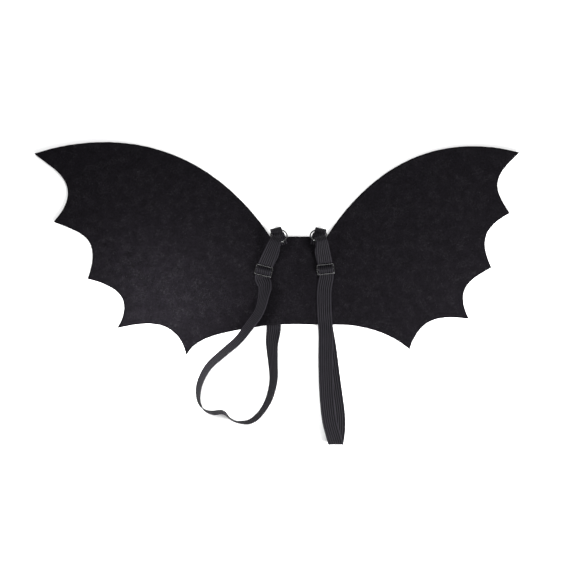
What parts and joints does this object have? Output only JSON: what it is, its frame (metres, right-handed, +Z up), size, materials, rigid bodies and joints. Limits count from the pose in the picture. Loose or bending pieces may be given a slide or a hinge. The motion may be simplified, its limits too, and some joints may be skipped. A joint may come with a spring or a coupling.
{
  "type": "bat wings",
  "caption": "Flat felt costume wings with scalloped, spiked edges, worn on the back by elastic arm loops adjusted with rings and sliders.",
  "frame": {"origin": "middle of the underside of the whole object's box, where it lies on a flat surface", "axes": "+X along the span, +Y from the arm loops and the hem towards the wing tips, +Z up out of the side that lies against the wearer's back"},
  "size_m": [0.67, 0.4172, 0.0241],
  "materials": {
    "felt": "matt fibrous black felt",
    "elastic": "ribbed knitted black elastic",
    "hardware": "glossy black"
  },
  "bodies": {
    "root": {"wing_panel": "felt", "tab_left": "elastic", "tab_right": "elastic", "ring_left": "hardware", "ring_right": "hardware", "slider_left": "hardware", "slider_right": "hardware", "strap_left": "elastic", "strap_right": "elastic"}
  },
  "joints": []
}
